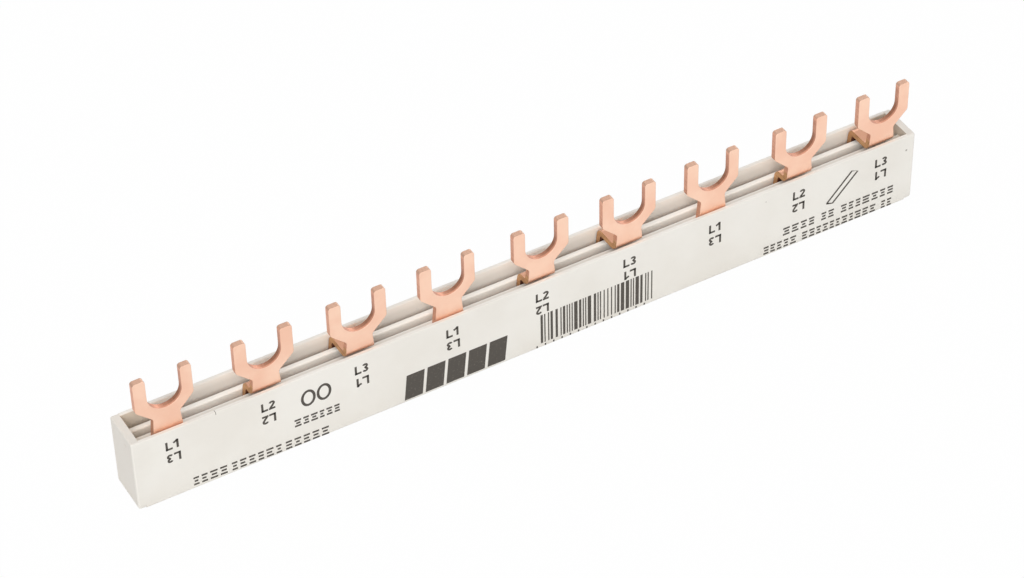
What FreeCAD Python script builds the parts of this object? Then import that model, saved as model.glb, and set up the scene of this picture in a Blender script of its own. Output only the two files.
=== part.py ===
import FreeCAD
import Part
import os

# A three phase comb busbar for a row of modular breakers. X runs along the
# bar, the printed face looks to -Y, Z is up and the base lies on Z = 0.
# All lengths are in millimetres.

# Modules
module_pitch = 17.8
module_count = 9
end_margin = 7.3

# Insulating rail
rail_height = 15.5
wall = 0.8
side_play = 0.215
rib = 1.1
floor = 1.3
rib_drop = 1.95
rim_round = 0.25
rib_round = 0.3
base_round = 0.7

# Copper sheet and combs
sheet = 1.1
strip_below_rib = 1.85
strip_end_gap = 0.7
bridge_lift = 1.0
bend_inside = 0.5
fork_width = 10.9
slot_width = 6.35
stem_width = 4.9
root_width = 6.1
prong_top = 27.4
slot_bottom = 20.15
shoulder_top = 21.15
shoulder_bottom = 18.3
tip_round = 0.5
shoulder_round = 1.0
stem_round = 0.8
root_round = 0.6

# End caps
flange = 1.5
plug_length = 1.4
plug_clear = 0.1
plug_height = 9.0
plug_bevel = 0.4
corner_round_low = 1.1
corner_round_top = 0.4
bevel_wide = 1.1
bevel_high = 0.8
flange_round = 0.3

# The combs from the printed face backwards. Each has slid a little along the
# rail, stands a little off the common tip height and has its right-hand
# prongs trimmed a little by the stamping.
combs = {
    "comb_l1": (0.0, 0.12, 0.25),
    "comb_l2": (0.55, -0.12, 0.0),
    "comb_l3": (0.5, 0.0, 0.1),
}
phase_count = len(combs)

# Sizes that follow from the ones above
first_fork = -module_pitch * (module_count - 1) / 2
bar_half = -first_fork + end_margin
rail_half = bar_half - flange
channel = sheet + 2 * side_play
channel_step = channel + rib
rail_depth = 2 * wall + phase_count * channel_step - rib
rib_top = rail_height - rib_drop
plate_front = wall + side_play
bridge_under = rib_top + bridge_lift
bend_outside = bend_inside + sheet
strip_top = rib_top - strip_below_rib
strip_half = rail_half - plug_length - strip_end_gap


def point(x, y, z):
    return FreeCAD.Vector(x, y, z)


def face_from(corners):
    """Closes a list of corners into a flat face."""
    return Part.Face(Part.makePolygon(corners + [corners[0]]))


def edges_along(shape, axis, keep):
    """Straight edges parallel to one axis whose middle passes the test."""
    chosen = []
    for edge in shape.Edges:
        first = edge.Vertexes[0].Point
        last = edge.Vertexes[-1].Point
        run = last.sub(first)
        if run.Length < 1e-6 or edge.Curve.TypeId != "Part::GeomLine":
            continue
        if abs(abs(run.dot(axis)) / run.Length - 1) > 1e-6:
            continue
        middle = first.add(last).multiply(0.5)
        if keep(middle):
            chosen.append(edge)
    return chosen


def channel_start(index):
    return wall + index * channel_step


# Rail: one extruded trough with a low rib between neighbouring channels

def rail():
    profile = face_from([
        point(-rail_half, 0, 0),
        point(-rail_half, rail_depth, 0),
        point(-rail_half, rail_depth, rail_height),
        point(-rail_half, 0, rail_height),
    ])
    body = profile.extrude(point(2 * rail_half, 0, 0))
    well = Part.makeBox(
        2 * rail_half,
        rail_depth - 2 * wall,
        rib_drop,
        point(-rail_half, wall, rib_top),
    )
    body = body.cut(well)
    for index in range(phase_count):
        groove = Part.makeBox(
            2 * rail_half,
            channel,
            rail_height,
            point(-rail_half, channel_start(index), floor),
        )
        body = body.cut(groove)
    body = body.removeSplitter()
    along = point(1, 0, 0)
    low = edges_along(body, along, lambda m: m.z < 1e-6)
    body = body.makeFillet(base_round, low)
    rims = edges_along(body, along, lambda m: abs(m.z - rail_height) < 1e-6)
    body = body.makeFillet(rim_round, rims)
    tops = edges_along(body, along, lambda m: abs(m.z - rib_top) < 1e-6)
    return body.makeFillet(rib_round, tops)


# Combs: stamped sheet, bent twice where the strip lies behind the fork row

def sheet_bar(index, top):
    """The bent sheet before stamping, from the strip's foot to the tips."""
    front = plate_front
    back = front + index * channel_step
    start = -bar_half
    run = point(2 * bar_half, 0, 0)
    if index == 0:
        return Part.makeBox(run.x, sheet, top - floor, point(start, front, floor))
    bridge_top = bridge_under + sheet
    bar = face_from([
        point(start, back, floor),
        point(start, back, bridge_under),
        point(start, front, bridge_under),
        point(start, front, top),
        point(start, front + sheet, top),
        point(start, front + sheet, bridge_top),
        point(start, back + sheet, bridge_top),
        point(start, back + sheet, floor),
    ]).extrude(run)

    def bend(*corners):
        def keep(m):
            return any(abs(m.y - y) + abs(m.z - z) < 1e-6 for y, z in corners)
        return edges_along(bar, point(1, 0, 0), keep)

    inner = bend((back, bridge_under), (front + sheet, bridge_top))
    bar = bar.makeFillet(bend_inside, inner)
    outer = bend((front, bridge_under), (back + sheet, bridge_top))
    return bar.makeFillet(bend_outside, outer)


def fork_plate(centre, top, trim):
    """Front view of one fork and its stem, as a slab through the rail."""
    stem = stem_width / 2
    root = root_width / 2

    def flank(sign, half):
        return [
            point(centre + sign * root, 0, floor),
            point(centre + sign * root, 0, strip_top),
            point(centre + sign * stem, 0, shoulder_bottom),
            point(centre + sign * half, 0, shoulder_top),
            point(centre + sign * half, 0, top),
        ]

    right = flank(1, fork_width / 2 - trim)
    left = flank(-1, fork_width / 2)
    slab = face_from(right + left[::-1]).extrude(point(0, rail_depth, 0))
    slot_round = slot_width / 2
    slot_centre = slot_bottom + slot_round
    slot = Part.makeBox(
        slot_width,
        rail_depth,
        top - slot_bottom,
        point(centre - slot_round, 0, slot_centre),
    )
    bowl = Part.makeCylinder(
        slot_round,
        rail_depth,
        point(centre, 0, slot_centre),
        point(0, 1, 0),
    )
    slab = slab.cut(slot.fuse(bowl)).removeSplitter()
    across = point(0, 1, 0)

    def near(height):
        return lambda m: abs(m.z - height) < 1e-6

    slab = slab.makeFillet(tip_round, edges_along(slab, across, near(top)))
    shoulders = edges_along(slab, across, near(shoulder_top))
    slab = slab.makeFillet(shoulder_round, shoulders)
    waist = edges_along(slab, across, near(shoulder_bottom))
    return slab.makeFillet(stem_round, waist)


def comb(index, slide, lift, trim):
    top = prong_top + lift
    slab = Part.makeBox(
        2 * strip_half,
        rail_depth,
        strip_top - floor,
        point(slide - strip_half, 0, floor),
    )
    centres = []
    for module in range(index, module_count, phase_count):
        centre = first_fork + module * module_pitch + slide
        centres.append(centre)
        slab = slab.fuse(fork_plate(centre, top, trim))
    for start in (-bar_half - strip_half, strip_half):
        past_end = Part.makeBox(
            bar_half,
            rail_depth,
            shoulder_bottom - stem_round - floor,
            point(slide + start, 0, floor),
        )
        slab = slab.cut(past_end)
    slab = slab.removeSplitter()
    reach = root_width / 2

    def at_root(m):
        if abs(m.z - strip_top) > 1e-6 or abs(m.x - slide) > strip_half - root_round:
            return False
        return any(abs(abs(m.x - c) - reach) < 1e-6 for c in centres)

    roots = edges_along(slab, point(0, 1, 0), at_root)
    slab = slab.makeFillet(root_round, roots)
    return sheet_bar(index, top).common(slab).removeSplitter()


# End caps: a flange over the rail's end with one plug for each channel

def flange_plate():
    low = corner_round_low
    high = corner_round_top
    outline = Part.makeBox(flange, rail_depth, rail_height)
    along = point(1, 0, 0)
    feet = edges_along(outline, along, lambda m: m.z < 1e-6)
    outline = outline.makeFillet(low, feet)
    tops = edges_along(outline, along, lambda m: m.z > rail_height - 1e-6)
    outline = outline.makeFillet(high, tops)
    side = face_from([
        point(0, 0, 0),
        point(flange - bevel_wide, 0, 0),
        point(flange, 0, bevel_high),
        point(flange, 0, rail_height),
        point(0, 0, rail_height),
    ])
    plate = outline.common(side.extrude(point(0, rail_depth, 0)))
    outer = [e for e in plate.Edges if e.BoundBox.XMin > flange - 1e-6]
    return plate.makeFillet(flange_round, outer)


def end_cap(side):
    """The cap at +X for side = 1 and its mirror image for side = -1."""
    cap = flange_plate()
    thick = channel - 2 * plug_clear
    for index in range(phase_count):
        plug = Part.makeBox(
            plug_length,
            thick,
            plug_height,
            point(-plug_length, channel_start(index) + plug_clear, floor + plug_clear),
        )
        lead = [e for e in plug.Edges if e.BoundBox.XMax < -plug_length + 1e-6]
        cap = cap.fuse(plug.makeChamfer(plug_bevel, lead))
    cap = cap.removeSplitter()
    cap.translate(point(rail_half, 0, 0))
    if side < 0:
        cap = cap.mirror(point(0, 0, 0), point(1, 0, 0))
    return cap


def centred(shape):
    """Moves a shape so that the rail's depth straddles Y = 0."""
    moved = shape.copy()
    moved.translate(point(0, -rail_depth / 2, 0))
    return moved


os.makedirs("parts", exist_ok=True)

solids = {
    "rail": rail(),
    "end_cap_left": end_cap(-1),
    "end_cap_right": end_cap(1),
}
for index, (name, values) in enumerate(combs.items()):
    solids[name] = comb(index, *values)

for name, shape in solids.items():
    centred(shape).exportStep("parts/" + name + ".step")
    print(name, "solids", len(shape.Solids), "valid", shape.isValid(), round(shape.Volume, 1))
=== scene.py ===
import math
from collections import namedtuple

import bmesh
import bpy
import numpy as np
from mathutils import Matrix, Vector


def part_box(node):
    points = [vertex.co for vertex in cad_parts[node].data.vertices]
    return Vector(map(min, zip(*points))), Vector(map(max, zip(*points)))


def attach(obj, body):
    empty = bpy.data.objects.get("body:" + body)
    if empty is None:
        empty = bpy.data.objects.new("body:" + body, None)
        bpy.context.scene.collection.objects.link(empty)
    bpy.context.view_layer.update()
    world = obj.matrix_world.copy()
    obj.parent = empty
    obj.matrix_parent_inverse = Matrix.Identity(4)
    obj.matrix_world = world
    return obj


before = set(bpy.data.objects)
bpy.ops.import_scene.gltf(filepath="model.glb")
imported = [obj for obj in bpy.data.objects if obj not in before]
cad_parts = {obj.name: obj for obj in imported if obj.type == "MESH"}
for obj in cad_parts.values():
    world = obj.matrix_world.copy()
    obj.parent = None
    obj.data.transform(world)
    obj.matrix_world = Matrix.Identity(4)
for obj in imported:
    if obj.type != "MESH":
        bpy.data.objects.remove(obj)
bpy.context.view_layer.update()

# The bar, in metres: the printed face looks to -Y and the base lies on Z = 0.
MM = 0.001
PITCH = 17.8 * MM
MODULES = 9
FIRST_FORK = -PITCH * (MODULES - 1) / 2
FACE_Y, BACK_Y = (corner.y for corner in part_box("rail"))
RAIL_END, RAIL_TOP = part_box("rail")[1].xz
WALL = 0.8 * MM

# Combs: how far each has slid along the rail, the front and back of the plane
# that all forks stand in, and the sizes that divide the finish of the copper
COMB_SLIDE = {"comb_l1": 0.0, "comb_l2": 0.55 * MM, "comb_l3": 0.5 * MM}
PHASES = len(COMB_SLIDE)
PLATE_FRONT, PLATE_BACK = (corner.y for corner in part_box("comb_l1"))
SLOT_HALF = 3.175 * MM
SLOT_FLOOR = 20.15 * MM
TIP_HEIGHT = 26.9 * MM
BRIDGE_UNDER = 14.55 * MM
# Height below which a bent stem's cut edges carry the tan painted reflection
BEND_TOP = 16.3 * MM
EDGE_ROUND = 0.12 * MM

# Narrow and wide border over which one tone passes into the next
FINE = 0.1 * MM
SOFT = 0.2 * MM

# Blemishes on the front of the moulding: X, Z and radius of each speck, and an
# upright scuff
SPECKS = np.array([(76.74, 12.24, 0.3), (46.3, 13.3, 0.15)]) * MM
SCUFF_X = -62.95 * MM
SCUFF_HALF = 0.07 * MM
SCUFF_LOW = 14.95 * MM

# Dust up to a height above the base; painted shade from a place along the trough
# to where it is full; painted shadow on the front half of the foremost rib's top
DUST_LOW = 4 * MM
END_SHADE_START, END_SHADE_FULL = RAIL_END - 9 * MM, RAIL_END - 3 * MM
RIB_SHADOW_FRONT, RIB_SHADOW_BACK = -1.9 * MM, -1.2 * MM
RIB_LOW, RIB_HIGH = 13.2 * MM, 13.8 * MM

# Ink: how far it stands out of the front face and reaches behind it, and the
# sizes of a phase mark, which is a letter and a digit
INK_PROUD = 0.02 * MM
INK_SUNK = 0.06 * MM
STROKE = 0.41 * MM
MARK_HEIGHT = 1.92 * MM
MARK_HALF_WIDTH = 1.3 * MM
MARK_LIFT = 0.5 * MM
LETTER_WIDTH = 1.25 * MM
DIGIT_WIDTH = 1.2 * MM
ONE_INSET = 0.2 * MM
ARC_POINTS = 12

# The line of phase marks sinks to the right: its height in the middle, and
# what it loses by slope and by bow at the outermost forks
LINE_HEIGHT = 10.7 * MM
LINE_SLOPE = 0.19 * MM
LINE_BOW = 0.14 * MM

# Rows of plain marks: both ends and the height of a mark in millimetres, how
# many marks, extra space after some of them, and the seed of their widths
Row = namedtuple("Row", "left right height marks spaces seed")
PLAIN_ROWS = [
    Row((-68.2, 1.0), (-42.5, 0.4), 1.85, 15, {3: 0.4, 9: 0.3}, 3),
    Row((-48.8, 4.95), (-40.2, 4.75), 1.6, 6, {}, 4),
    Row((50.3, 3.5), (74.3, 3.35), 1.7, 13, {3: 1.0, 5: 1.0}, 5),
    Row((46.2, 0.75), (74.1, 0.45), 1.7, 18, {4: 1.0, 15: 1.0}, 6),
]

# The dashes of a plain mark: their levels as shares of its height, their
# stroke, the least and greatest width of a mark, the gap after it and the unit
# of the extra spaces, which the row scales together, and the middle dash's
# greatest inset as a share of the width
DASH_LEVELS = (0.1, 0.5, 0.9)
DASH_STROKE = STROKE * 0.95
DASH_WIDTHS = (0.55, 0.85)
DASH_GAP = 0.28
DASH_SPACE = 0.6
DASH_INSET = 0.25

# Upright bars, whose widths and gaps are drawn from lists of units, and the
# dots under them
BARS_LEFT, BARS_RIGHT = -0.45 * MM, 22.55 * MM
BARS_LOW, BARS_HIGH = 1.25 * MM, 7.9 * MM
BAR_UNITS = 92
BAR_WIDTHS = (1, 1, 1, 1, 2, 2, 3)
BAR_GAPS = (1, 1, 2, 2)
BAR_SHARE = 0.92
BAR_SEED = 8
DOTS = np.linspace(-1.2, 20.9, 14) * MM
DOT_LOW, DOT_HIGH = 0.45 * MM, 0.92 * MM
DOT_WIDTH = 0.28 * MM

# A band of leaning blocks, two rings and a lozenge
BAND_LEFT, BAND_RIGHT = -28.0 * MM, -6.8 * MM
BAND_LOW, BAND_HIGH = 0.8 * MM, 6.4 * MM
BAND_LEAN = 0.6 * MM
BAND_BLOCKS = 5
BLOCK_SHARE = 0.86
RINGS = np.array([(-45.9, 10.5), (-42.9, 10.5)]) * MM
RING_RADII = (1.15 * MM, 1.6 * MM)
RING_STROKE = 0.5 * MM
RING_POINTS = 33
LOZENGE = np.array([(59.6, 7.0), (60.9, 6.6), (66.1, 12.0), (64.8, 12.5), (59.6, 7.0)]) * MM
LOZENGE_STROKE = 0.38 * MM

# Camera: its direction from the target, roll and distance, and its lens
VIEW_AZIMUTH = math.radians(28.979)
VIEW_HEIGHT = math.radians(42.04)
VIEW_ROLL = math.radians(-1.395)
VIEW_DISTANCE = 0.584622
VIEW_TARGET = Vector((-0.005972, FACE_Y, 0.016723))
LENS_MM = 119.26
SENSOR_MM = 36
CLIP_NEAR, CLIP_FAR = 0.02, 20

# Light: the world, the floor's half width and its share of glow, and the
# softboxes with their place, width, height and watts
WORLD_STRENGTH = 0.5
FLOOR_HALF = 3.0
FLOOR_GLOW = 0.98
SOFTBOXES = {
    "front_softbox": ((-0.8, -1.3, 1.05), 1.35, 0.9, 18.5),
    "top_softbox": ((-0.1, 0.45, 1.1), 1.2, 0.8, 2.6),
    "rear_softbox": ((0.7, 0.9, 0.25), 0.6, 0.4, 2.5),
}


# Shader nodes

class Value:
    """One number of a shader graph. Its operators add Math nodes."""

    def __init__(self, nodes, socket):
        self.nodes, self.socket = nodes, socket

    def math(self, operation, *others):
        node = self.nodes.add("ShaderNodeMath", {"operation": operation}, [self, *others])
        return Value(self.nodes, node.outputs[0])

    def __add__(self, other):
        return self.math("ADD", other)

    def __mul__(self, other):
        return self.math("MULTIPLY", other)

    def __sub__(self, other):
        return self.math("SUBTRACT", other)

    def __rsub__(self, other):
        return (self * -1) + other

    def __pow__(self, other):
        return self.math("POWER", other)

    def __abs__(self):
        return self.math("ABSOLUTE")

    __radd__ = __add__
    __rmul__ = __mul__

    def ramp(self, low, high):
        """0 below low, 1 above high and smooth between them."""
        settings = {"interpolation_type": "SMOOTHSTEP"}
        node = self.nodes.add("ShaderNodeMapRange", settings, [self, low, high])
        return Value(self.nodes, node.outputs[0])

    def rise(self, start, over):
        """0 as far as start, and 1 once it is past it by over."""
        return self.ramp(start, start + over)

    def fall(self, start, over):
        """1 as far as start, and 0 once it is past it by over."""
        return 1 - self.rise(start, over)


class Nodes:
    """A node tree with one way to add a node, and short forms for the ones used most."""

    def __init__(self, tree):
        self.tree = tree
        tree.nodes.clear()

    def add(self, kind, settings=None, inputs=()):
        """Adds a node. Its inputs come as a list in their order or as a dict by name or number."""
        node = self.tree.nodes.new(kind)
        for key, value in (settings or {}).items():
            setattr(node, key, value)
        pairs = inputs.items() if isinstance(inputs, dict) else enumerate(inputs)
        for key, value in pairs:
            value = getattr(value, "socket", value)
            if isinstance(value, bpy.types.NodeSocket):
                self.tree.links.new(value, node.inputs[key])
            else:
                node.inputs[key].default_value = value
        return node

    def split(self, vector):
        """A vector's X, Y and Z."""
        parts = self.add("ShaderNodeSeparateXYZ", None, [vector])
        return [Value(self, socket) for socket in parts.outputs]

    def place(self):
        """The point on the piece, in metres, whole and as X, Y and Z."""
        point = self.add("ShaderNodeTexCoord").outputs["Object"]
        return point, self.split(point)

    def facing(self):
        """The surface's own direction as X, Y and Z."""
        return self.split(self.add("ShaderNodeNewGeometry").outputs["Normal"])

    def seen(self):
        """1 where the camera sees something, also in a mirror or through glass, and 0 elsewhere."""
        path = self.add("ShaderNodeLightPath").outputs
        camera, glossy, clear = [
            Value(self, path["Is " + kind + " Ray"]) for kind in ("Camera", "Glossy", "Transmission")
        ]
        return camera + glossy + clear

    def noise(self, point, per_metre, detail, stretch=(1, 1, 1)):
        """Cloudy pattern from 0 to 1, so many lumps to the metre, stretched by axis."""
        scaled = self.add("ShaderNodeVectorMath", {"operation": "MULTIPLY"}, [point, stretch])
        inputs = {"Vector": scaled.outputs[0], "Scale": per_metre, "Detail": detail}
        return Value(self, self.add("ShaderNodeTexNoise", None, inputs).outputs["Fac"])

    def blend(self, share, first, second):
        """First colour where share is 0, second where it is 1."""
        inputs = {0: share, 6: first, 7: second}
        return self.add("ShaderNodeMix", {"data_type": "RGBA"}, inputs).outputs[2]

    def bump(self, height, distance, strength, under=None):
        """Relief of a height, on top of another normal if one is given."""
        inputs = {"Strength": strength, "Distance": distance, "Height": height}
        if under is not None:
            inputs["Normal"] = under
        return self.add("ShaderNodeBump", None, inputs).outputs[0]

    def surface(self, inputs):
        """Closes a material with the standard shader."""
        shader = self.add("ShaderNodeBsdfPrincipled", None, inputs)
        self.add("ShaderNodeOutputMaterial", None, {"Surface": shader.outputs[0]})


def new_material(name):
    material = bpy.data.materials.new(name)
    material.use_nodes = True
    return material, Nodes(material.node_tree)


# Colours

def colour(red, green, blue):
    """An sRGB colour from 0 to 255 as the linear colour a shader takes."""
    share = np.array((red, green, blue)) / 255
    linear = np.where(share > 0.04045, ((share + 0.055) / 1.055) ** 2.4, share / 12.92)
    return (*linear.tolist(), 1.0)


WHITE = (1, 1, 1, 1)
PAPER_TONES = (0.86, 0.86, 0.86, 1), (0.84, 0.84, 0.84, 1)
INK_TONES = colour(80, 75, 69), colour(112, 106, 98)

PLASTIC_TONES = colour(238, 235, 228), colour(233, 229, 221)
# Painted light between the walls of the trough
PLASTIC_PAINTED_LIGHT = colour(254, 251, 244)
PLASTIC_CAP = colour(220, 213, 204)
DUST = colour(214, 206, 194)
# Painted shade towards the ends of the trough and on the caps' inner sides
PAINTED_END_SHADE = colour(206, 196, 178)
# Painted shadow of the front wall on the foremost rib
RIB_PAINTED_SHADOW = colour(206, 196, 180)
SPECK = colour(120, 112, 104)
SCUFF = colour(96, 88, 80)

ROLLED_TONES = colour(252, 214, 190), colour(246, 201, 176)
CUT_TONES = colour(222, 164, 136), colour(204, 144, 118)
# Tan painted reflection of the plastic, with painted shade, low on a bent stem
TAN_REFLECTION_TONES = colour(206, 160, 106), colour(184, 134, 84)
# Painted shade on the cut faces of the tips
CUT_TIP_SHADE = colour(168, 136, 117)
# Painted shade on the level top of the bridge
BRIDGE_TOP_SHADE = colour(178, 130, 103)
# Painted shade on the wall of the slot
SLOT_WALL_SHADE = colour(192, 134, 110)
# Painted dark reflection on the right-hand wall of the slot
SLOT_DARK_REFLECTION = colour(122, 76, 46)
# Painted shadow beneath the bridge
UNDER_BRIDGE_SHADOW = colour(106, 56, 28)


# Finishes

def trough_tone(nodes, base, behind, x, y, z):
    """Painted light as a lighter tone between the walls, and painted shade
    towards both ends.

    The back wall has the painted light only towards its rim.
    """
    inside = behind * y.fall(BACK_Y - FINE - SOFT, SOFT)
    back = y.rise(BACK_Y - WALL - FINE, FINE)
    below_rim = z.fall(RAIL_TOP - SOFT, SOFT)
    upper = z.ramp(RIB_HIGH, RAIL_TOP - 5 * FINE) * below_rim
    # Painted light: lighter between the walls, and on the back wall towards its rim
    base = nodes.blend(inside * ((1 - back) * 0.55 + back * upper * 0.6), base, PLASTIC_PAINTED_LIGHT)
    # Painted shade towards both ends of the trough
    end_shade = inside * abs(x).ramp(END_SHADE_START, END_SHADE_FULL) * below_rim * (back * 0.4 + 0.35)
    return nodes.blend(end_shade, base, PAINTED_END_SHADE)


def cap_tone(nodes, base, behind, x):
    """A darker tone behind the front face, and painted shade on the side that closes the trough."""
    base = nodes.blend(behind * 0.55, base, PLASTIC_CAP)
    # Painted shade on the side of the cap that closes the trough
    return nodes.blend(behind * abs(x).fall(RAIL_END, FINE) * 0.6, base, PAINTED_END_SHADE)


def blemishes(nodes, base, behind, x, y, z):
    """Round specks on the front face, and a short upright scuff over the front rim.

    A speck fades with the square of the distance from its middle.
    """
    for speck_x, speck_z, radius in SPECKS.tolist():
        apart = (x - speck_x) ** 2 + (z - speck_z) ** 2
        base = nodes.blend(apart.fall(0, radius ** 2) * (1 - behind) * 0.7, base, SPECK)
    scuff = abs(x - SCUFF_X).fall(SCUFF_HALF / 2, SCUFF_HALF / 2)
    scuff = scuff * z.rise(SCUFF_LOW, SCUFF_HALF) * y.fall(FACE_Y + WALL - SOFT, SOFT)
    return nodes.blend(scuff * 0.95, base, SCUFF)


def plastic(name, trough):
    """Off-white moulding of the trough or of a cap.

    It has a faint cloudy tone, fine grain, long draw marks, dust low on it, a
    painted shadow on the front half of the foremost rib, and a few blemishes.
    """
    material, nodes = new_material(name)
    point, (x, y, z) = nodes.place()
    cloud = nodes.noise(point, 90, 4)
    draw = nodes.noise(point, 900, 2, (0.02, 1, 1))
    grain = nodes.noise(point, 5200, 2)
    behind = y.rise(FACE_Y + FINE + SOFT, SOFT)
    base = nodes.blend(cloud.ramp(0.3, 0.7), *PLASTIC_TONES)
    if trough:
        base = trough_tone(nodes, base, behind, x, y, z)
    else:
        base = cap_tone(nodes, base, behind, x)
    base = nodes.blend(z.fall(0, DUST_LOW) * cloud * 0.25, base, DUST)
    # Painted shadow of the front wall on the front half of the foremost rib's top
    shadow_on_rib = y.rise(RIB_SHADOW_FRONT - FINE, FINE) * y.fall(RIB_SHADOW_BACK - FINE, SOFT)
    shadow_on_rib = shadow_on_rib * z.rise(RIB_LOW, FINE) * z.fall(RIB_HIGH - FINE, FINE)
    base = nodes.blend(shadow_on_rib * (grain * 0.2 + 0.22), base, RIB_PAINTED_SHADOW)
    base = blemishes(nodes, base, behind, x, y, z)
    nodes.surface({
        "Base Color": base,
        "Roughness": cloud * 0.1 + grain * 0.08 + 0.42,
        "Specular IOR Level": 0.4,
        "Normal": nodes.bump(draw * 0.6 + grain * 0.4, 0.01 * MM, 0.6),
    })
    return material


def copper(name, fork_x, bent):
    """Rolled copper sheet, darker where it was cut.

    The rolled faces are bright satin with a faint cloudy tarnish. The cut
    edges show fine upright tear, pink on the fork and its tips, with painted
    shade on the tips, and low on the stem of a comb that is bent a tan painted
    reflection of the plastic with painted shade. The level faces of the bend,
    the bridge's top, have painted shade. The wall of the slot has painted
    shade, deeper towards its floor, and on its right-hand side, towards the
    back of the sheet, a brown painted dark reflection; what lies beneath the
    bridge has a brown painted shadow. Aside is the distance from the middle of the
    nearest fork, to the right or, as a minus, to the left, counted along the
    comb from its first fork at fork_x.
    """
    material, nodes = new_material(name)
    point, (x, y, z) = nodes.place()
    _, facing_y, facing_z = nodes.facing()
    cloud = nodes.noise(point, 160, 4)
    rolled = nodes.noise(point, 1500, 3, (0.12, 1, 1))
    tear = nodes.noise(point, 2600, 2, (1, 0.15, 1))
    aside = (x - fork_x).math("WRAP", PHASES * PITCH / 2, -PHASES * PITCH / 2)

    stem = z.fall(BEND_TOP, MM) if bent else 0
    level = (facing_z ** 2).ramp(0.4, 0.8) * stem
    faced = ((facing_y ** 2).ramp(0.45, 0.9) + level).math("MINIMUM", 1)
    sheared = 1 - faced
    cut = nodes.blend(tear.ramp(0.3, 0.7), *CUT_TONES)
    # Painted reflection of the plastic, with painted shade, in tan tones
    tan_reflection = nodes.blend(tear.ramp(0.3, 0.7), *TAN_REFLECTION_TONES)
    cut = nodes.blend(stem, cut, tan_reflection)
    # Painted shade darkens the cut faces of the tips
    cut = nodes.blend(z.rise(TIP_HEIGHT, FINE + SOFT) * 0.85, cut, CUT_TIP_SHADE)
    base = nodes.blend(cloud.ramp(0.35, 0.7), *ROLLED_TONES)
    base = nodes.blend(sheared * 0.85, base, cut)
    # Painted shade on the level faces of the bend, the bridge's top
    base = nodes.blend(level * 0.9, base, BRIDGE_TOP_SHADE)

    # Painted shade on the wall of the slot, deeper towards its floor
    slot = sheared * (SLOT_HALF * 1.2 - abs(aside)).rise(0, SOFT)
    slot = slot * z.rise(SLOT_FLOOR - MM, MM) * z.fall(TIP_HEIGHT - MM, MM)
    sunk = z.fall(SLOT_FLOOR + 1.5 * MM, 3 * MM)
    base = nodes.blend(slot * (sunk * 0.4 + 0.4), base, SLOT_WALL_SHADE)
    # Painted dark reflection, brown with the tear in it, on the slot's right-hand wall towards the
    # back; it also lowers the metallic share
    slot_dark_reflection = slot * y.rise(PLATE_FRONT + 1.5 * FINE, 2 * SOFT)
    slot_dark_reflection = slot_dark_reflection * aside.ramp(-2 * MM, 2 * MM) * (sunk * 0.8 + 0.2)
    base = nodes.blend(slot_dark_reflection * (tear * 0.6 + 0.5), base, SLOT_DARK_REFLECTION)

    # Painted shadow in brown on what lies beneath the bridge
    under = z.fall(BRIDGE_UNDER - 5 * FINE, 8 * FINE) * y.rise(PLATE_BACK - SOFT, FINE + SOFT)
    base = nodes.blend(under * faced * 0.85, base, UNDER_BRIDGE_SHADOW)
    rounded = nodes.add("ShaderNodeBevel", {"samples": 4}, {"Radius": EDGE_ROUND}).outputs[0]
    nodes.surface({
        "Base Color": base,
        "Metallic": 0.85 - slot_dark_reflection * 0.6,
        "Roughness": rolled * 0.1 + cloud * 0.08 + 0.38,
        "Normal": nodes.bump(rolled * faced + tear * sheared, 0.02 * MM, 0.5, rounded),
    })
    return material


def ink(name):
    """Dark printing ink, a little broken where the face is rough."""
    material, nodes = new_material(name)
    point, _ = nodes.place()
    worn = nodes.noise(point, 2400, 3)
    nodes.surface({
        "Base Color": nodes.blend(worn.ramp(0.55, 0.8), *INK_TONES),
        "Roughness": worn * 0.2 + 0.5,
        "Specular IOR Level": 0.3,
    })
    return material


def paper_floor(name):
    """White sweep: nearly pure white where it is seen, with a trace of the bar's shadow left."""
    material, nodes = new_material(name)
    point, _ = nodes.place()
    paper = nodes.add("ShaderNodeBsdfPrincipled", None, {
        "Base Color": nodes.blend(nodes.noise(point, 60, 3), *PAPER_TONES),
        "Roughness": 1.0,
        "Specular IOR Level": 0.0,
    })
    glow = nodes.add("ShaderNodeEmission", None, {"Color": WHITE, "Strength": 1.0})
    shaders = [nodes.seen() * FLOOR_GLOW, paper.outputs[0], glow.outputs[0]]
    mixed = nodes.add("ShaderNodeMixShader", None, shaders)
    nodes.add("ShaderNodeOutputMaterial", None, {"Surface": mixed.outputs[0]})
    return material


def finish_nodes():
    """Gives the rail, the caps and each comb its finish."""
    finishes = dict.fromkeys(("end_cap_left", "end_cap_right"), plastic("cap_plastic", False))
    finishes["rail"] = plastic("rail_plastic", True)
    for index, (comb, slide) in enumerate(COMB_SLIDE.items()):
        fork_x = FIRST_FORK + index * PITCH + slide
        finishes[comb] = copper("copper_" + comb[-2:], fork_x, index > 0)
    for node, material in finishes.items():
        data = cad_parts[node].data
        data.materials.clear()
        data.materials.append(material)


# Pieces

def mesh_piece(name, points, faces, material):
    """A mesh object at the origin, with its place in its points."""
    mesh = bpy.data.meshes.new(name)
    mesh.from_pydata(points.tolist(), [], faces.tolist())
    mesh.materials.append(material)
    piece = bpy.data.objects.new(name, mesh)
    bpy.context.scene.collection.objects.link(piece)
    return piece


def outward(piece):
    """Recalculates a closed mesh's normals so that its faces point outwards."""
    mesh = bmesh.new()
    mesh.from_mesh(piece.data)
    bmesh.ops.recalc_face_normals(mesh, faces=mesh.faces)
    mesh.to_mesh(piece.data)
    mesh.free()


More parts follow.
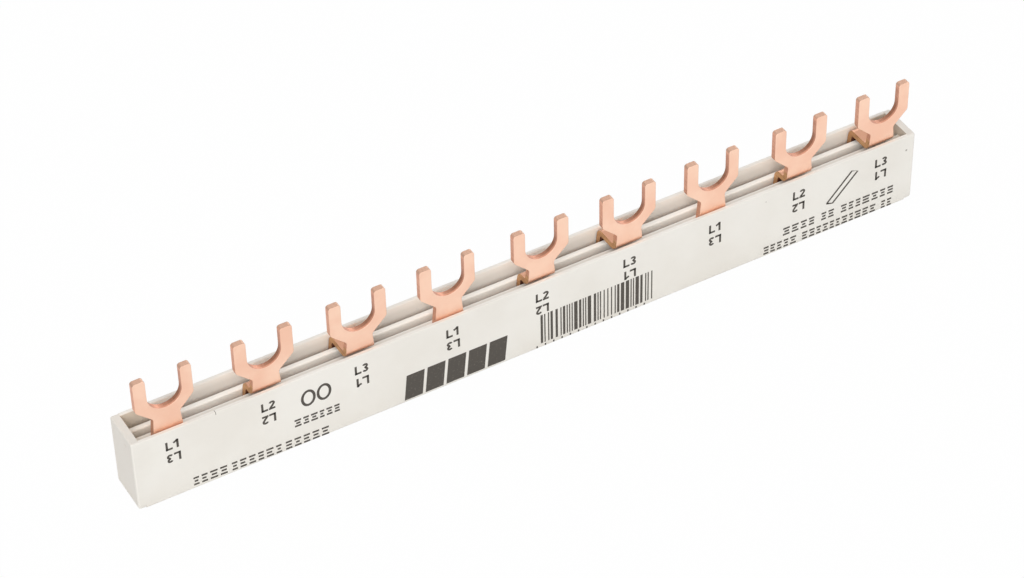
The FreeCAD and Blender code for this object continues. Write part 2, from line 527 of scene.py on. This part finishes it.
def ribbon(path, width, across=None):
    """A flat strip of ink along a line of X and Z on the front face.

    At each point of the line the strip reaches half its width to both sides,
    square to the line or along the given direction. Its four long edges lie
    a hair in front of the face and a little behind it, and both ends are
    closed.
    """
    path = np.asarray(path, float)
    if across is None:
        along = np.gradient(path, axis=0)
        along /= np.linalg.norm(along, axis=1, keepdims=True)
        across = np.stack([-along[:, 1], along[:, 0]], axis=1)
    reach = np.broadcast_to(np.asarray(across, float) * width / 2, path.shape)
    sides = np.stack([path - reach, path + reach, path + reach, path - reach], axis=1)
    points = np.empty((len(path), 4, 3))
    points[:, :, 0] = sides[:, :, 0]
    points[:, :, 1] = FACE_Y + np.array([-INK_PROUD, -INK_PROUD, INK_SUNK, INK_SUNK])
    points[:, :, 2] = sides[:, :, 1]
    step, edge = np.meshgrid(np.arange(len(path) - 1), np.arange(4), indexing="ij")
    after = (edge + 1) % 4
    corners = [4 * step + edge, 4 * step + after, 4 * step + 4 + after, 4 * step + 4 + edge]
    faces = np.stack(corners, axis=-1).reshape(-1, 4)
    last = 4 * (len(path) - 1)
    ends = np.array([[3, 2, 1, 0], [last, last + 1, last + 2, last + 3]])
    return points.reshape(-1, 3), np.concatenate([faces, ends])


def upright(x, low, high, width, lean=0.0):
    """A block of ink from low to high whose foot is at x and whose top leans over."""
    return ribbon([(x, low), (x + lean, high)], width, (1, 0))


def printed(name, ribbons, material):
    """Joins ribbons into one piece that rides with the rail, its faces turned outwards."""
    starts = np.cumsum([0] + [len(points) for points, _ in ribbons])
    points = np.concatenate([points for points, _ in ribbons])
    faces = np.concatenate([faces + start for (_, faces), start in zip(ribbons, starts)])
    piece = mesh_piece(name, points, faces, material)
    outward(piece)
    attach(piece, "root")


def arc(centre, radii, start, stop, count):
    """Points on an ellipse about centre between two angles in degrees."""
    turn = np.radians(np.linspace(start, stop, count))
    return np.asarray(centre) + np.stack([np.cos(turn), np.sin(turn)], axis=1) * radii


def letter_l(width, height):
    """An upright and a foot, each one stroke wide."""
    half = STROKE / 2
    return [
        np.array([(half, 0), (half, height)]),
        np.array([(0, half), (width, half)]),
    ]


def digit_1(width, height):
    """An upright with a flag that sinks to the left."""
    x = width - STROKE / 2 - ONE_INSET
    flag = [(x - 0.62 * width, 0.7 * height), (x - 0.2 * width, 0.82 * height), (x, 0.97 * height)]
    return [np.array([(x, 0), (x, height)]), np.array(flag)]


def digit_2(width, height):
    """An arch that runs down to the left end of a foot."""
    half = STROKE / 2
    radii = ((width - STROKE) / 2, 0.28 * height - half)
    arch = arc((width / 2, 0.72 * height), radii, 165, -25, ARC_POINTS)
    slope = [(width / 2, 0.38 * height), (1.3 * half, STROKE)]
    return [np.concatenate([arch, slope]), np.array([(0, half), (width, half)])]


def digit_3(width, height):
    """Two arches, the upper one a little narrower."""
    half = STROKE / 2
    radii = np.array([(width - STROKE) / 2, 0.27 * height - half])
    upper = arc((width / 2, 0.73 * height), radii * (0.9, 1), 160, -90, ARC_POINTS)
    lower = arc((width / 2, 0.27 * height), radii, 90, -160, ARC_POINTS)
    return [np.concatenate([upper, lower[1:]])]


DIGITS = (digit_1, digit_2, digit_3)


def phase_mark(value, turned):
    """Centre lines of a letter and a digit, lifted off the mark's centre or turned half round it."""
    lines = letter_l(LETTER_WIDTH, MARK_HEIGHT)
    shift = (2 * MARK_HALF_WIDTH - DIGIT_WIDTH, 0)
    lines += [line + shift for line in DIGITS[value - 1](DIGIT_WIDTH, MARK_HEIGHT)]
    lines = [line + (-MARK_HALF_WIDTH, MARK_LIFT) for line in lines]
    return [-line if turned else line for line in lines]


def phase_marks():
    """Under each fork its phase, and below that the phase it has when the bar is turned round."""
    ribbons = []
    for module in range(MODULES):
        x = FIRST_FORK + module * PITCH
        share = -x / FIRST_FORK
        centre = (x, LINE_HEIGHT - LINE_SLOPE * share - LINE_BOW * share ** 2)
        for turned in (False, True):
            value = PHASES - module % PHASES if turned else 1 + module % PHASES
            for line in phase_mark(value, turned):
                ribbons.append(ribbon(line + centre, STROKE))
    return ribbons


def plain_row(row):
    """A row of plain marks of seeded widths, each mark three level dashes.

    The middle dash is drawn in at its ends. Widths, gaps and spaces have a
    unit of their own, and the row is scaled to reach from left to right.
    """
    chance = np.random.default_rng(row.seed)
    left, right = np.array(row.left) * MM, np.array(row.right) * MM
    widths = chance.uniform(*DASH_WIDTHS, row.marks)
    spaces = np.array([row.spaces.get(mark, 0) for mark in range(row.marks)])
    starts = np.cumsum(np.concatenate([[0], widths + DASH_GAP + spaces * DASH_SPACE]))
    length = np.linalg.norm(right - left)
    scale = length / (starts[-1] - DASH_GAP)
    along = (right - left) / length
    ribbons = []
    for start, width in zip(starts * scale, widths * scale):
        for level in DASH_LEVELS:
            inset = chance.uniform(0, DASH_INSET, 2) * width * (level == DASH_LEVELS[1])
            ends = np.array([start + inset[0], start + width - inset[1]])
            dash = left + ends[:, None] * along + (0, row.height * MM * level)
            ribbons.append(ribbon(dash, DASH_STROKE))
    return ribbons


def bars():
    """Upright bars of seeded widths, one to three units, with gaps of one or two."""
    chance = np.random.default_rng(BAR_SEED)
    sizes = []
    while sum(sizes) < BAR_UNITS:
        sizes += [chance.choice(BAR_WIDTHS), chance.choice(BAR_GAPS)]
    sizes = np.array(sizes[:-1], float)
    sizes *= (BARS_RIGHT - BARS_LEFT) / sizes.sum()
    edges = BARS_LEFT + np.concatenate([[0], np.cumsum(sizes)])
    return [
        upright(edge + width / 2, BARS_LOW, BARS_HIGH, width * BAR_SHARE)
        for edge, width in zip(edges[:-1:2], sizes[::2])
    ]


def leaning_band():
    """A row of equal leaning blocks with thin gaps."""
    pitch = (BAND_RIGHT - BAND_LEFT - BAND_LEAN) / BAND_BLOCKS
    return [
        upright(BAND_LEFT + (block + 0.5) * pitch, BAND_LOW, BAND_HIGH, pitch * BLOCK_SHARE, BAND_LEAN)
        for block in range(BAND_BLOCKS)
    ]


def ring(centre):
    """A closed ellipse of ink."""
    return ribbon(arc(centre, RING_RADII, 0, 360, RING_POINTS), RING_STROKE)


def print_all():
    """All the printing on the front face."""
    black = ink("printing_ink")
    prints = {
        "phase_marks": phase_marks(),
        "plain_rows": [line for row in PLAIN_ROWS for line in plain_row(row)],
        "bar_rows": bars(),
        "bar_dots": [upright(x, DOT_LOW, DOT_HIGH, DOT_WIDTH) for x in DOTS],
        "plain_band": leaning_band(),
        "plain_rings": [ring(centre) for centre in RINGS],
        "plain_lozenge": [ribbon(LOZENGE, LOZENGE_STROKE)],
    }
    for name, ribbons in prints.items():
        printed(name, ribbons, black)


# Camera, light and floor

def add_camera():
    """The camera stands back from its target, along azimuth and height.

    It looks at the target and is rolled about its own axis.
    """
    data = bpy.data.cameras.new("camera")
    data.lens = LENS_MM
    data.sensor_width = SENSOR_MM
    data.clip_start, data.clip_end = CLIP_NEAR, CLIP_FAR
    camera = bpy.data.objects.new("camera", data)
    bpy.context.scene.collection.objects.link(camera)
    back = Vector((
        -math.sin(VIEW_AZIMUTH) * math.cos(VIEW_HEIGHT),
        -math.cos(VIEW_AZIMUTH) * math.cos(VIEW_HEIGHT),
        math.sin(VIEW_HEIGHT),
    ))
    level = (-back).cross(Vector((0, 0, 1))).normalized()
    upward = level.cross(-back)
    right = level * math.cos(VIEW_ROLL) + upward * math.sin(VIEW_ROLL)
    above = upward * math.cos(VIEW_ROLL) - level * math.sin(VIEW_ROLL)
    turn = Matrix((right, above, back)).transposed()
    camera.matrix_world = Matrix.Translation(VIEW_TARGET + back * VIEW_DISTANCE) @ turn.to_4x4()
    bpy.context.scene.camera = camera


def add_softbox(name, place, width, height, watts):
    """A rectangular lamp at place that faces the middle of the bar's base."""
    data = bpy.data.lights.new(name, "AREA")
    data.shape = "RECTANGLE"
    data.size, data.size_y, data.energy = width, height, watts
    lamp = bpy.data.objects.new(name, data)
    lamp.location = place
    lamp.rotation_euler = (-Vector(place)).to_track_quat("-Z", "Y").to_euler()
    bpy.context.scene.collection.objects.link(lamp)


def add_world():
    """Even white light, at full strength where it is seen and weaker where it lights the bar."""
    world = bpy.data.worlds.new("studio")
    bpy.context.scene.world = world
    world.use_nodes = True
    nodes = Nodes(world.node_tree)
    white = nodes.add("ShaderNodeBackground", None, {
        "Color": WHITE,
        "Strength": nodes.seen() * (1 - WORLD_STRENGTH) + WORLD_STRENGTH,
    })
    nodes.add("ShaderNodeOutputWorld", None, {"Surface": white.outputs[0]})


def add_floor():
    """A square white sweep under the bar."""
    half = FLOOR_HALF
    corners = np.array([(-half, -half, 0), (half, -half, 0), (half, half, 0), (-half, half, 0)])
    floor = mesh_piece("floor", corners, np.array([[0, 1, 2, 3]]), paper_floor("paper_floor"))


bpy.context.scene.view_settings.view_transform = "Standard"
add_camera()
add_world()
finish_nodes()
add_floor()
for name, softbox in SOFTBOXES.items():
    add_softbox(name, *softbox)
print_all()
